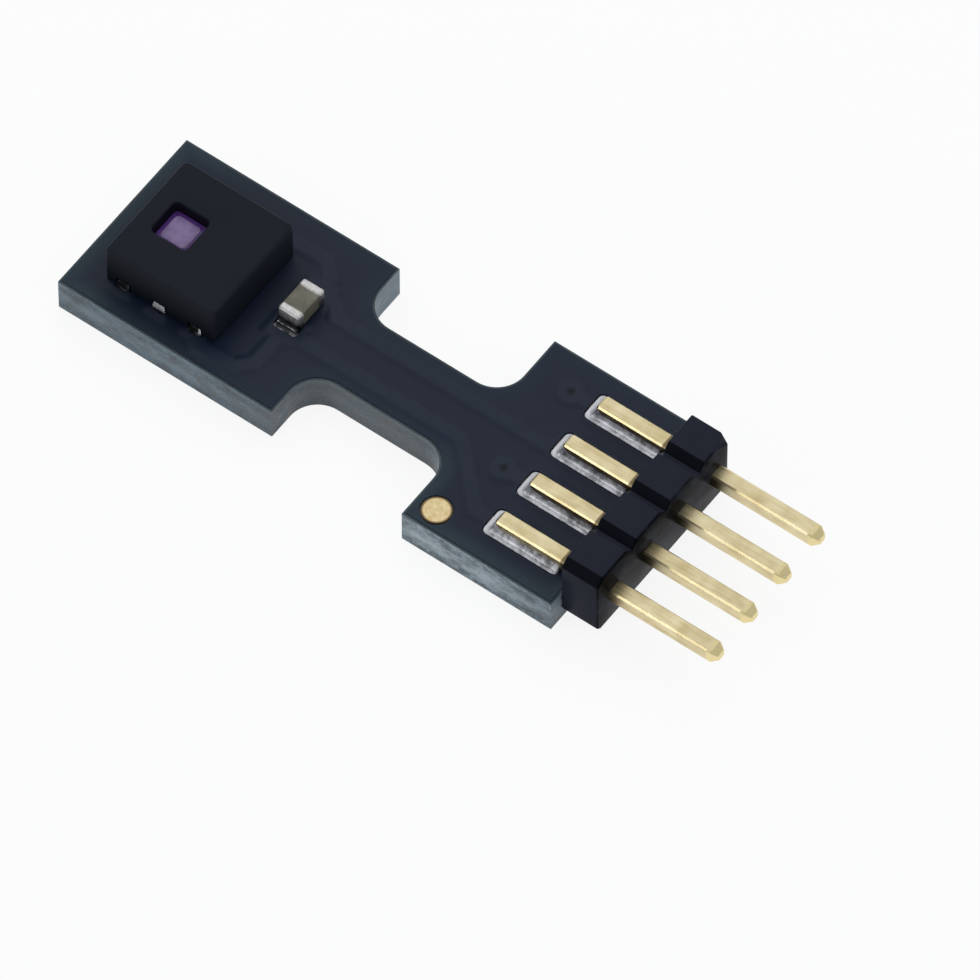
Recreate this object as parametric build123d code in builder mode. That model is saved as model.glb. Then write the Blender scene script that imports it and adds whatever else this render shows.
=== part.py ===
from build123d import *
import os

# A temperature and humidity sensor module, in millimetres.
# The origin is the centre of the board's underside. +X runs from the sensor's head to the pin
# tips, +Y to the far long edge, and +Z up, away from the surface that the board lies on.

# Board outline
head_length = 5.95
head_width = 4.8
neck_length = 3.95
neck_width = 1.92
foot_length = 4.1
foot_width = 5.75
notch_radius = 0.75

# Board layers
laminate_thickness = 0.975
copper_thickness = 0.035
mask_thickness = 0.025
mask_border = 0.06
mask_opening_gap = 0.05
trace_width = 0.2
trace_bend = 0.35
lane_from_sensor = 0.25
supply_turn_from_notch = 0.1
capacitor_trace_run = 0.5
via_land_diameter = 0.5
via_barrel_diameter = 0.3
via_hole_diameter = 0.2
via_plug_depth = 0.1
via_dimple_depth = 0.015

# Test pad, set from the foot's two near edges
test_pad_diameter = 0.7
test_pad_from_notch = 0.58
test_pad_from_edge = 0.52

# Header: four square pins in one moulded strip that butts against the board's end
pin_count = 4
pin_pitch = 1.27
pin_side = 0.4
pin_edge_chamfer = 0.04
pin_tip_length = 0.16
pin_tip_side = 0.22
pin_tail_end_length = 0.05
pin_tail_end_side = 0.32
pin_tail_length = 2.15
pin_reach = 2.9
row_shift = 0.05
housing_depth = 1.0
housing_above_pin = 1.0
housing_below_pin = 0.9
top_notch_depth = 0.2
bottom_notch_depth = 0.1
far_end_cut = 0.22
far_end_slant = 0.1

# Header lands and their joints. A joint's slope is drawn as fractions: (height, reach from the metal).
header_pad_length = 2.0
header_pad_width = 0.7
header_pad_corner = 0.1
header_pad_lead_in = 0.23
header_solder_height = 0.24
header_solder_slope = ((0, 1.0), (0.25, 0.5), (0.6, 0.2), (1.0, 0.06))
solder_setback = 0.01
via_from_pad = 0.6

# Sensor package
sensor_side = 3.05
sensor_height = 1.05
sensor_standoff = 0.04
sensor_from_head_end = 2.3
sensor_shift = -0.17
sensor_edge_radius = 0.04
lead_pitch = 1.0
lead_rows = 3
lead_width = 0.4
lead_length = 0.38
lead_thickness = 0.2
toe_length = 0.07
toe_height = 0.16
toe_hollow_out = 0.42
toe_hollow_up = 0.2
window_side = 1.0
window_foot_side = 0.86
window_corner_radius = 0.14
window_depth = 0.4
window_shift = -0.53
paddle_length = 2.4
paddle_width = 1.5
die_side = 1.3
film_side = 0.6
film_corner_radius = 0.06
film_thickness = 0.02
centre_pad_length = 1.3
centre_pad_width = 1.2
hidden_via_inset = 0.35

# Chip capacitor, its long side across the board
capacitor_length = 1.0
capacitor_width = 0.6
capacitor_height = 0.5
capacitor_from_sensor = 0.755
capacitor_shift = 0.16
terminal_length = 0.23
terminal_thickness = 0.02
terminal_radius = 0.05
capacitor_standoff = 0.02
capacitor_pad_length = 0.52
capacitor_pad_width = 0.66
capacitor_pad_overhang = 0.35
capacitor_solder_height = 0.2
capacitor_solder_slope = ((0, 1.0), (0.3, 0.5), (0.65, 0.22), (1.0, 0.08))

# Heights and places that follow from the sizes above
layer_depth = copper_thickness + mask_thickness
copper_top = laminate_thickness + copper_thickness
board_length = head_length + neck_length + foot_length
head_end = -board_length / 2
head_notch = head_end + head_length
foot_end = board_length / 2
foot_notch = foot_end - foot_length
pin_height = copper_top + pin_side / 2
pin_rows = [row_shift + (i - (pin_count - 1) / 2) * pin_pitch for i in range(pin_count)]
housing_front = foot_end + housing_depth
pad_start = foot_end - pin_tail_length - header_pad_lead_in
pad_middle = pad_start + header_pad_length / 2
via_x = pad_start - via_from_pad
sensor_x = head_end + sensor_from_head_end
sensor_bottom = copper_top + sensor_standoff
sensor_top = sensor_bottom + sensor_height
sensor_near = sensor_shift - sensor_side / 2
sensor_far = sensor_shift + sensor_side / 2
lead_places = [sensor_x + (i - (lead_rows - 1) / 2) * lead_pitch for i in range(lead_rows)]
window_x = sensor_x + window_shift
die_top = sensor_top - window_depth
capacitor_x = sensor_x + (sensor_side + capacitor_width) / 2 + capacitor_from_sensor
capacitor_bottom = copper_top + capacitor_standoff
capacitor_pad_offset = (capacitor_length - capacitor_pad_length) / 2 + capacitor_pad_overhang
near_capacitor_pad = capacitor_shift - capacitor_pad_offset
far_capacitor_pad = capacitor_shift + capacitor_pad_offset
sensor_pad_length = lead_length + toe_length
neck_lane = neck_width / 4

os.makedirs("parts", exist_ok=True)


def save(piece, name):
    piece.part.label = name
    export_step(piece.part, f"parts/{name}.step")


def sketch_board(inset):
    """Draw the dumbbell outline, pulled in by inset all round, with its four routed corners round."""
    with Locations(((head_end + head_notch) / 2, 0)):
        Rectangle(head_length - 2 * inset, head_width - 2 * inset)
    with Locations(((head_notch + foot_notch) / 2, 0)):
        Rectangle(neck_length + 2 * inset, neck_width - 2 * inset)
    with Locations(((foot_notch + foot_end) / 2, 0)):
        Rectangle(foot_length - 2 * inset, foot_width - 2 * inset)

    half_neck = neck_width / 2 - inset
    fillet([v for v in vertices() if abs(abs(v.Y) - half_neck) < 1e-6], radius=notch_radius + inset)


# Copper. Each net on a layer is one piece: its pads, its traces and its via lands.
# A pad is (x, y, length along X, width along Y) and its corners' radius if they are round. A land
# is a point, and a route a list of points.
def header_pad(row):
    return (pad_middle, pin_rows[row], header_pad_length, header_pad_width, header_pad_corner)


def sensor_pad(place, side):
    edge = sensor_shift + side * sensor_side / 2
    middle = edge + side * (toe_length - sensor_pad_length / 2)
    return (lead_places[place], middle, lead_width, sensor_pad_length)


def capacitor_pad(y):
    return (capacitor_x, y, capacitor_pad_width, capacitor_pad_length)


def hidden_via(side):
    """Under the sensor, between its first lead on that side and its centre pad."""
    return (lead_places[0], sensor_shift + side * (sensor_side / 2 - lead_length - hidden_via_inset))


def capacitor_exit(y, lane):
    """A trace's first points: straight out of a capacitor pad, then at 45 degrees to its lane on the neck."""
    run_end = capacitor_x + capacitor_trace_run
    return [(capacitor_x, y), (run_end, y), (run_end + abs(y - lane), lane)]


near_lead = sensor_pad(lead_rows - 1, -1)[:2]
far_lead = sensor_pad(lead_rows - 1, 1)[:2]
supply_lane = sensor_near - lane_from_sensor
ground_lane = sensor_far + lane_from_sensor
supply_turn = foot_notch - supply_turn_from_notch
centre_run = far_lead[0] - sensor_x

supply_net = dict(
    pads=[header_pad(0), capacitor_pad(near_capacitor_pad), sensor_pad(lead_rows - 1, -1)],
    routes=[
        [near_lead, (near_lead[0] + trace_bend, supply_lane), (capacitor_x - trace_bend, supply_lane),
         (capacitor_x, supply_lane + trace_bend), (capacitor_x, near_capacitor_pad)],
        capacitor_exit(near_capacitor_pad, -neck_lane)
        + [(supply_turn, -neck_lane), (supply_turn - neck_lane - pin_rows[0], pin_rows[0]), header_pad(0)[:2]],
    ],
    lands=[],
)
ground_net = dict(
    pads=[header_pad(2), capacitor_pad(far_capacitor_pad), sensor_pad(lead_rows - 1, 1),
          (sensor_x, sensor_shift, centre_pad_length, centre_pad_width)],
    routes=[
        [far_lead, (far_lead[0] + trace_bend, ground_lane), (capacitor_x - trace_bend, ground_lane),
         (capacitor_x, ground_lane - trace_bend), (capacitor_x, far_capacitor_pad)],
        capacitor_exit(far_capacitor_pad, neck_lane)
        + [(pad_start + neck_lane - pin_rows[2], neck_lane), (pad_start, pin_rows[2]), header_pad(2)[:2]],
        [far_lead, (far_lead[0], sensor_shift + centre_run), (sensor_x, sensor_shift)],
    ],
    lands=[],
)
data_net = dict(
    pads=[header_pad(1)],
    routes=[[(via_x, pin_rows[1]), header_pad(1)[:2]]],
    lands=[(via_x, pin_rows[1])],
)
clock_net = dict(
    pads=[header_pad(3)],
    routes=[[(via_x, pin_rows[3]), header_pad(3)[:2]]],
    lands=[(via_x, pin_rows[3])],
)
data_sensor_net = dict(
    pads=[sensor_pad(0, -1)],
    routes=[[sensor_pad(0, -1)[:2], hidden_via(-1)]],
    lands=[hidden_via(-1)],
)
clock_sensor_net = dict(
    pads=[sensor_pad(0, 1)],
    routes=[[sensor_pad(0, 1)[:2], hidden_via(1)]],
    lands=[hidden_via(1)],
)
top_nets = {
    "supply_copper": supply_net,
    "ground_copper": ground_net,
    "data_copper": data_net,
    "clock_copper": clock_net,
    "data_sensor_copper": data_sensor_net,
    "clock_sensor_copper": clock_sensor_net,
    "spare_pad_1": dict(pads=[sensor_pad(1, -1)], routes=[], lands=[]),
    "spare_pad_2": dict(pads=[sensor_pad(1, 1)], routes=[], lands=[]),
}


def under_net(row, side):
    """A trace on the underside, from the via at a header pad along the neck to a hidden via."""
    lane = side * neck_lane
    start, end = (via_x, pin_rows[row]), hidden_via(side)
    route = [start, (start[0] - abs(start[1] - lane), lane), (end[0] + abs(end[1] - lane), lane), end]
    return dict(pads=[], routes=[route], lands=[start, end])


under_nets = {
    "data_copper_under": under_net(1, -1),
    "clock_copper_under": under_net(3, 1),
}
vias = [(via_x, pin_rows[1]), (via_x, pin_rows[3]), hidden_via(-1), hidden_via(1)]
test_pad_place = (foot_notch + test_pad_from_notch, -foot_width / 2 + test_pad_from_edge)


def sketch_pads(pads, grow):
    for x, y, length, width, *corner in pads:
        with Locations((x, y)):
            if corner:
                RectangleRounded(length + 2 * grow, width + 2 * grow, corner[0] + grow)
            else:
                Rectangle(length + 2 * grow, width + 2 * grow)


def sketch_net(net, grow):
    """Draw a net's pads, traces and lands, each grown by the same amount all round."""
    sketch_pads(net["pads"], grow)
    for route in net["routes"]:
        with BuildLine() as path:
            Polyline(*route)
        trace(path.line, line_width=trace_width + 2 * grow)
    for land in net["lands"]:
        with Locations(land):
            Circle(via_land_diameter / 2 + grow)


def copper_piece(net, height, barrel_foot):
    """One net's copper on the plane at height, its via barrels plated in one with it down to barrel_foot."""
    barrel_length = height + copper_thickness - barrel_foot
    from_foot = (Align.CENTER, Align.CENTER, Align.MIN)
    with BuildPart() as piece:
        with BuildSketch(Plane.XY.offset(height)):
            sketch_net(net, 0)
        extrude(amount=copper_thickness)
        for land in net["lands"]:
            with Locations((*land, barrel_foot)):
                Cylinder(via_barrel_diameter / 2, barrel_length, align=from_foot)
                Cylinder(via_hole_diameter / 2, barrel_length, align=from_foot, mode=Mode.SUBTRACT)
    return piece


# Copper on the top face, then on the underside
top_copper = {name: copper_piece(net, laminate_thickness, layer_depth) for name, net in top_nets.items()}
under_copper = {name: copper_piece(net, mask_thickness, mask_thickness) for name, net in under_nets.items()}
for name, piece in {**top_copper, **under_copper}.items():
    save(piece, name)

with BuildPart() as test_pad:
    with BuildSketch(Plane.XY.offset(laminate_thickness)):
        with Locations(test_pad_place):
            Circle(test_pad_diameter / 2)
    extrude(amount=copper_thickness)
save(test_pad, "test_pad")

# Laminate. Its underside is let in by the depth of the coat and copper there, inside a bare border,
# so that the coat and the border lie in one plane.
with BuildPart() as board_laminate:
    with BuildSketch():
        sketch_board(0)
    extrude(amount=laminate_thickness)
    with BuildSketch():
        sketch_board(mask_border)
    extrude(amount=layer_depth, mode=Mode.SUBTRACT)
    with BuildSketch():
        with Locations(*vias):
            Circle(via_barrel_diameter / 2)
    extrude(amount=laminate_thickness, mode=Mode.SUBTRACT)
save(board_laminate, "board_laminate")

# Top coat. It steps up over the copper, is open round every pad, and plugs and dimples at each via.
with BuildPart() as top_solder_mask:
    with BuildSketch(Plane.XY.offset(laminate_thickness)):
        sketch_board(mask_border)
    extrude(amount=mask_thickness)
    for net in top_nets.values():
        with BuildSketch(Plane.XY.offset(laminate_thickness)):
            sketch_net(net, mask_thickness)
        extrude(amount=layer_depth)
    with BuildSketch(Plane.XY.offset(laminate_thickness)):
        for net in top_nets.values():
            sketch_pads(net["pads"], mask_opening_gap)
        with Locations(test_pad_place):
            Circle(test_pad_diameter / 2 + mask_opening_gap)
    extrude(amount=layer_depth, mode=Mode.SUBTRACT)
    for piece in top_copper.values():
        add(piece.part, mode=Mode.SUBTRACT)
    for x, y in vias:
        with BuildSketch(Plane.XY.offset(copper_top - via_plug_depth)):
            with Locations((x, y)):
                Circle(via_hole_diameter / 2)
        extrude(amount=via_plug_depth + mask_thickness)
        with Locations((x, y, laminate_thickness + layer_depth - via_dimple_depth / 2)):
            Cone(via_hole_diameter / 2, via_barrel_diameter / 2, via_dimple_depth, mode=Mode.SUBTRACT)
save(top_solder_mask, "top_solder_mask")

# Under coat, flat where the board rests
with BuildPart() as bottom_solder_mask:
    with BuildSketch():
        sketch_board(mask_border)
    extrude(amount=layer_depth)
    for piece in under_copper.values():
        add(piece.part, mode=Mode.SUBTRACT)
    for x, y in vias:
        with BuildSketch():
            with Locations((x, y)):
                Circle(via_hole_diameter / 2)
        extrude(amount=mask_thickness + via_plug_depth)
        with Locations((x, y, via_dimple_depth / 2)):
            Cone(via_barrel_diameter / 2, via_hole_diameter / 2, via_dimple_depth, mode=Mode.SUBTRACT)
save(bottom_solder_mask, "bottom_solder_mask")

# Header pins: square wire with eased edges and tapered ends, the tails lying on their pads
tail_end = foot_end - pin_tail_length
tip_end = housing_front + pin_reach
pins = []
for number, row in enumerate(pin_rows, 1):
    with BuildPart() as pin:
        for ends in (
            [(tail_end, pin_tail_end_side), (tail_end + pin_tail_end_length, pin_side)],
            [(tail_end + pin_tail_end_length, pin_side), (tip_end - pin_tip_length, pin_side)],
            [(tip_end - pin_tip_length, pin_side), (tip_end, pin_tip_side)],
        ):
            for x, side in ends:
                with BuildSketch(Plane.YZ.offset(x)):
                    with Locations((row, pin_height)):
                        Rectangle(side, side)
                    chamfer(vertices(), length=pin_edge_chamfer)
            loft()
    pins.append(pin)
    save(pin, f"header_pin_{number}")

# Header housing: one moulded strip of four segments with break notches between them, snapped from
# a longer strip: its far end broke off a little inside the last notch, on a slant
row_ends = [pin_rows[0] + (i - 0.5) * pin_pitch for i in range(pin_count + 1)]
housing_top = pin_height + housing_above_pin
housing_bottom = pin_height - housing_below_pin


def notched_side(level, depth):
    """The points along one long side, with a V of the given depth at each segment's end."""
    points = [(row_ends[0], level - depth)]
    for start, end in zip(row_ends, row_ends[1:]):
        points += [(start + abs(depth), level), (end - abs(depth), level), (end, level - depth)]
    return points


with BuildPart() as header_housing:
    with BuildSketch(Plane.YZ.offset(foot_end)):
        with BuildLine():
            upper = notched_side(housing_top, top_notch_depth)
            lower = notched_side(housing_bottom, -bottom_notch_depth)
            Polyline(*upper, *reversed(lower), close=True)
        make_face()
    extrude(amount=housing_depth)
    with BuildSketch(Plane.XY.offset(housing_bottom)):
        with BuildLine():
            Polyline((foot_end, row_ends[-1] - far_end_cut),
                     (housing_front, row_ends[-1] - far_end_cut - far_end_slant),
                     (housing_front, row_ends[-1]), (foot_end, row_ends[-1]), close=True)
        make_face()
    extrude(amount=housing_top - housing_bottom, mode=Mode.SUBTRACT)
    for pin in pins:
        add(pin.part, mode=Mode.SUBTRACT)
save(header_housing, "header_housing")

# Solder at the header: a concave fillet from each pad's edge up to the tail lying on it
pad_end = pad_start + header_pad_length - solder_setback
lead_in = tail_end - pad_start - solder_setback
side_spread = (header_pad_width - pin_side) / 2 - solder_setback
for number, (pin, row) in enumerate(zip(pins, pin_rows), 1):
    with BuildPart() as joint:
        for height, reach in header_solder_slope:
            start = tail_end - reach * lead_in
            end = pad_end - (1 - reach) * lead_in
            with BuildSketch(Plane.XY.offset(copper_top + height * header_solder_height)):
                with Locations(((start + end) / 2, row)):
                    Rectangle(end - start, pin_side + 2 * reach * side_spread)
                chamfer(vertices(), length=header_pad_corner * reach)
        loft(ruled=True)
        add(pin.part, mode=Mode.SUBTRACT)
    save(joint, f"header_solder_{number}")

# Sensor package: six leads and a paddle flush with the mould, a die with its film, an open well
leads = []
for side in (-1, 1):
    edge = sensor_shift + side * sensor_side / 2
    for x in lead_places:
        with BuildPart() as lead:
            with BuildSketch(Plane.XY.offset(sensor_bottom)):
                with Locations((x, edge - side * lead_length / 2)):
                    Rectangle(lead_width, lead_length)
            extrude(amount=lead_thickness)
        leads.append(lead)
        save(lead, f"sensor_lead_{len(leads)}")

with BuildPart() as die_paddle:
    with BuildSketch(Plane.XY.offset(sensor_bottom)):
        with Locations((sensor_x, sensor_shift)):
            Rectangle(paddle_length, paddle_width)
    extrude(amount=lead_thickness)
save(die_paddle, "die_paddle")

with BuildPart() as sensor_die:
    with BuildSketch(Plane.XY.offset(sensor_bottom + lead_thickness)):
        with Locations((window_x, sensor_shift)):
            Rectangle(die_side, die_side)
    extrude(amount=die_top - sensor_bottom - lead_thickness)
save(sensor_die, "sensor_die")

with BuildPart() as sensing_film:
    with BuildSketch(Plane.XY.offset(die_top)):
        with Locations((window_x, sensor_shift)):
            RectangleRounded(film_side, film_side, film_corner_radius)
    extrude(amount=film_thickness)
save(sensing_film, "sensing_film")

with BuildPart() as sensor_body:
    with BuildSketch(Plane.XY.offset(sensor_bottom)):
        with Locations((sensor_x, sensor_shift)):
            Rectangle(sensor_side, sensor_side)
    extrude(amount=sensor_height)
    fillet(sensor_body.edges().filter_by(Axis.Z) + sensor_body.faces().sort_by(Axis.Z)[-1].edges(),
           radius=sensor_edge_radius)
    for level, side in ((die_top, window_foot_side), (sensor_top, window_side)):
        with BuildSketch(Plane.XY.offset(level)):
            with Locations((window_x, sensor_shift)):
                RectangleRounded(side, side, window_corner_radius)
    loft(mode=Mode.SUBTRACT)
    for piece in leads + [die_paddle, sensor_die]:
        add(piece.part, mode=Mode.SUBTRACT)
save(sensor_body, "sensor_body")

# Solder at the sensor: a thin layer under each lead and a concave toe up its end
number = 0
for side in (-1, 1):
    edge = sensor_shift + side * sensor_side / 2
    inner = edge - side * lead_length
    toe = edge + side * (toe_length - solder_setback)
    for x in lead_places:
        number += 1
        with BuildPart() as joint:
            with BuildSketch(Plane.YZ.offset(x - lead_width / 2)):
                with BuildLine():
                    Polyline((edge, sensor_bottom + toe_height), (edge, sensor_bottom), (inner, sensor_bottom),
                             (inner, copper_top), (toe, copper_top))
                    ThreePointArc((toe, copper_top),
                                  (edge + (toe - edge) * toe_hollow_out,
                                   sensor_bottom + toe_height * toe_hollow_up),
                                  (edge, sensor_bottom + toe_height))
                make_face()
            extrude(amount=lead_width)
        save(joint, f"sensor_solder_{number}")

# Chip capacitor: a ceramic block with a metal cap over each end, and its two joints
with BuildPart() as capacitor_body:
    with BuildSketch(Plane.XY.offset(capacitor_bottom + terminal_thickness)):
        with Locations((capacitor_x, capacitor_shift)):
            Rectangle(capacitor_width - 2 * terminal_thickness, capacitor_length - 2 * terminal_thickness)
    extrude(amount=capacitor_height - 2 * terminal_thickness)
save(capacitor_body, "capacitor_body")

for number, side in enumerate((-1, 1), 1):
    middle = capacitor_shift + side * (capacitor_length - terminal_length) / 2
    with BuildPart() as terminal:
        with BuildSketch(Plane.XY.offset(capacitor_bottom)):
            with Locations((capacitor_x, middle)):
                Rectangle(capacitor_width, terminal_length)
        extrude(amount=capacitor_height)
        end_face = terminal.faces().sort_by(Axis.Y)[-1 if side > 0 else 0]
        fillet(end_face.edges(), radius=terminal_radius)
        add(capacitor_body.part, mode=Mode.SUBTRACT)
    save(terminal, f"capacitor_terminal_{number}")
    pad_y = capacitor_shift + side * capacitor_pad_offset
    inner = capacitor_shift + side * (capacitor_length / 2 - terminal_length)
    outer = pad_y + side * (capacitor_pad_length / 2 - solder_setback)
    end = capacitor_shift + side * capacitor_length / 2
    with BuildPart() as joint:
        for height, reach in capacitor_solder_slope:
            with BuildSketch(Plane.XY.offset(copper_top + height * capacitor_solder_height)):
                far_side = end + (outer - end) * reach
                with Locations((capacitor_x, (inner + far_side) / 2)):
                    spread = (capacitor_pad_width - 2 * solder_setback - capacitor_width) * reach
                    Rectangle(capacitor_width + spread, abs(far_side - inner))
        loft(ruled=True)
        add(terminal.part, mode=Mode.SUBTRACT)
        add(capacitor_body.part, mode=Mode.SUBTRACT)
    save(joint, f"capacitor_solder_{number}")
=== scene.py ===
import math
import bmesh
import bpy
import numpy as np
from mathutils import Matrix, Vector
from mathutils.bvhtree import BVHTree
from mathutils.geometry import delaunay_2d_cdt


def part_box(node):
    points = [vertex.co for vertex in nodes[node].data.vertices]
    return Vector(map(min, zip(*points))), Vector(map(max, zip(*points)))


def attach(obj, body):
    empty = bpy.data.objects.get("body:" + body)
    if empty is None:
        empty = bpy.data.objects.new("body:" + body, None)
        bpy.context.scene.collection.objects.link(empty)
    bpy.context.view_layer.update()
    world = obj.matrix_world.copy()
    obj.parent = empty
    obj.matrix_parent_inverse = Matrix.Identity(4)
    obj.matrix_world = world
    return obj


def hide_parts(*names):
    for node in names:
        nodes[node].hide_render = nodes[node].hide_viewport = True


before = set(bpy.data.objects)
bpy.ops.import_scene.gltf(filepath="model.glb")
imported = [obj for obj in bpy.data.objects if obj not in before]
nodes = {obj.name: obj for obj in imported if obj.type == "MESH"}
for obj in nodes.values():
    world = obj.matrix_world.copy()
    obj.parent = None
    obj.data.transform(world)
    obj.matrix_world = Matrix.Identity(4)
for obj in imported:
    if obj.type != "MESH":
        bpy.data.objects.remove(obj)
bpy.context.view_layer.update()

# X runs from the head to the pins, Y away from the viewer.
mm = 0.001


# The glass-fibre laminate
# The real piece is a routed plate of woven glass and resin, one millimetre thick, that carries
# everything else. Its cut edges are bare, pale and streaked by the layers of cloth; under the
# coat its faces are dark, and a thin border round them was left uncoated.

class Strand:
    """One output socket in a tree; sums and products of strands add the nodes for them."""

    def __init__(self, tree, socket):
        self.tree = tree
        self.socket = socket

    def node(self, kind, settings=None, sockets=None, output=0):
        """Add a node of this kind, set its settings, then feed its sockets by number or name."""
        made = self.tree.nodes.new(kind)
        for name, value in (settings or {}).items():
            setattr(made, name, value)
        for name, value in (sockets or {}).items():
            if isinstance(value, Strand):
                self.tree.links.new(value.socket, made.inputs[name])
            else:
                made.inputs[name].default_value = value
        return Strand(self.tree, made.outputs[output])

    def sum_up(self, operation, first, second):
        return self.node("ShaderNodeMath", {"operation": operation}, {0: first, 1: second})

    def __add__(self, other):
        return self.sum_up("ADD", self, other)

    __radd__ = __add__

    def __sub__(self, other):
        return self.sum_up("SUBTRACT", self, other)

    def __rsub__(self, other):
        return self.sum_up("SUBTRACT", other, self)

    def __mul__(self, other):
        return self.sum_up("MULTIPLY", self, other)

    __rmul__ = __mul__

    def __pow__(self, other):
        return self.sum_up("POWER", self, other)

    def __abs__(self):
        return self.node("ShaderNodeMath", {"operation": "ABSOLUTE"}, {0: self})

    def least(self, other):
        return self.sum_up("MINIMUM", self, other)

    def most(self, other):
        return self.sum_up("MAXIMUM", self, other)

    def rise(self, low, high):
        """0 below low and 1 above high, with a smooth climb; low above high falls instead."""
        return self.node(
            "ShaderNodeMapRange",
            {"interpolation_type": "SMOOTHSTEP"},
            {"Value": self, "From Min": low, "From Max": high, "To Min": 0.0, "To Max": 1.0},
        )

    def tint(self, dark, light):
        """A colour that goes from dark at 0 to light at 1; either may itself be a strand."""
        ends = [c if isinstance(c, Strand) else (*c, 1.0) for c in (dark, light)]
        return self.node(
            "ShaderNodeMix", {"data_type": "RGBA"}, {0: self, 6: ends[0], 7: ends[1]}, output=2
        )


class Finish:
    """A material on the Principled shader, with places read from Object coordinates."""

    def __init__(self, name, **constants):
        self.material = bpy.data.materials.new(name)
        self.material.use_nodes = True
        self.tree = self.material.node_tree
        self.shader = self.tree.nodes["Principled BSDF"]
        for socket, value in constants.items():
            self.shader.inputs[socket.replace("_", " ")].default_value = value
        metres = Strand(self.tree, None).node("ShaderNodeTexCoord", output=3)
        self.place = metres.node(
            "ShaderNodeVectorMath", {"operation": "SCALE"}, {0: metres, "Scale": 1.0 / mm}
        )
        self.x, self.y, self.z = (
            self.place.node("ShaderNodeSeparateXYZ", None, {0: self.place}, output=i)
            for i in range(3)
        )

    def stretched(self, x, y, z):
        """The place with each direction scaled, for grain that runs along a direction."""
        return self.place.node(
            "ShaderNodeVectorMath", {"operation": "MULTIPLY"}, {0: self.place, 1: (x, y, z)}
        )

    def grain(self, scale, detail=3.0, rough=0.5, where=None, seed=0.0):
        """Soft random clouds from 0 to 1, with this many to the millimetre."""
        where = where or self.place
        return self.place.node(
            "ShaderNodeTexNoise",
            {"noise_dimensions": "4D"},
            {"Vector": where, "W": seed, "Scale": scale, "Detail": detail, "Roughness": rough},
        )

    def kept(self, name):
        """The number that the mesh keeps under this name on its points or faces."""
        return self.place.node("ShaderNodeAttribute", {"attribute_name": name}, output="Fac")

    def feed(self, **sockets):
        for name, strand in sockets.items():
            self.tree.links.new(strand.socket, self.shader.inputs[name.replace("_", " ")])

    def bump(self, height, strength, depth):
        """Relief from a height that goes from 0 to 1, this deep."""
        bumped = height.node(
            "ShaderNodeBump", None, {"Strength": strength, "Distance": depth * mm, "Height": height}
        )
        self.feed(Normal=bumped)

    def cover(self, *things):
        for thing in things:
            thing.data.materials.clear()
            thing.data.materials.append(self.material)


# The board is a head and a foot, two rectangles, with a neck between them whose ends are routed
board_low, board_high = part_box("board_laminate")
head_end, foot_end = board_low[0] / mm, board_high[0] / mm
head_notch, foot_notch = head_end + 5.95, foot_end - 4.1
half_head, half_neck, half_foot = 2.4, 0.96, board_high[1] / mm
routed_radius, board_top, bare_border = 0.75, board_high[2] / mm, 0.06


def from_edge(finish):
    """How far inside the board's outline a point lies, for a material."""
    into_lobes = 1.5
    x, y = finish.x, abs(finish.y)
    head = (x - head_notch).most(y - half_head).most(head_end - x)
    foot = (foot_notch - x).most(y - half_foot).most(x - foot_end)
    neck = (y - half_neck).most(head_notch - into_lobes - x).most(x - foot_notch - into_lobes)
    lobe = head.least(foot)
    off_lobe, off_neck = (routed_radius - lobe).most(0.0), (routed_radius - neck).most(0.0)
    arc = (off_lobe * off_lobe + off_neck * off_neck) ** 0.5
    return arc - lobe.least(neck).most(routed_radius)


laminate = Finish("cut_laminate")
cloth = laminate.grain(1.0, 5.0, 0.65, laminate.stretched(3.2, 3.2, 7.0))
chips = laminate.grain(1.0, 4.0, 0.7, laminate.stretched(11.0, 11.0, 15.0), seed=4.0)
bundle = laminate.grain(1.0, 2.0, 0.5, laminate.stretched(1.3, 1.3, 3.0), seed=9.0)
streak = (0.40 * cloth + 0.35 * chips + 0.35 * bundle).rise(0.47, 0.64)

# Painted light: the foot's edge is palest and fades by half towards the header; the head's is
# darker
painted_foot_light = laminate.x.rise(foot_notch - 1.0, foot_notch + 0.7)
painted_foot_light = painted_foot_light * (1.0 - 0.5 * laminate.x.rise(foot_end - 2.3, foot_end - 0.5))
shaded_head_resin, lit_foot_resin = (0.028, 0.052, 0.078), (0.070, 0.118, 0.150)
shaded_head_glass, lit_foot_glass = (0.250, 0.330, 0.385), (0.57, 0.68, 0.755)
resin, glass = painted_foot_light.tint(shaded_head_resin, lit_foot_resin), painted_foot_light.tint(shaded_head_glass, lit_foot_glass)
edge_colour = streak.tint(resin, glass)

# The layers of cloth halfway up the edge catch the most light
mid_layers = laminate.z.rise(0.72, 0.52) * laminate.z.rise(0.15, 0.42)
mid_layers = mid_layers * (0.4 + 0.6 * bundle.rise(0.4, 0.6))
mid_glass = painted_foot_light.tint((0.39, 0.48, 0.53), (0.85, 0.95, 0.98))
edge_colour = (mid_layers * 0.45).tint(edge_colour, mid_glass)

# The neck's edge and the near notches are a plain grey, and the far notches, facing the lamps, are
# painted paler as light
along_neck = laminate.x.rise(head_notch - 1.55, head_notch + 0.45)
along_neck = along_neck * laminate.x.rise(foot_notch, foot_notch - 0.7)
neck_grey = chips.rise(0.35, 0.6).tint((0.075, 0.082, 0.088), (0.15, 0.155, 0.155))
lit_far_notches = laminate.y.rise(half_neck - 0.06, half_neck + 0.14)
neck_grey = lit_far_notches.tint(neck_grey, (0.42, 0.50, 0.56))
edge_colour = (along_neck * 0.6).tint(edge_colour, neck_grey)

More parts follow.
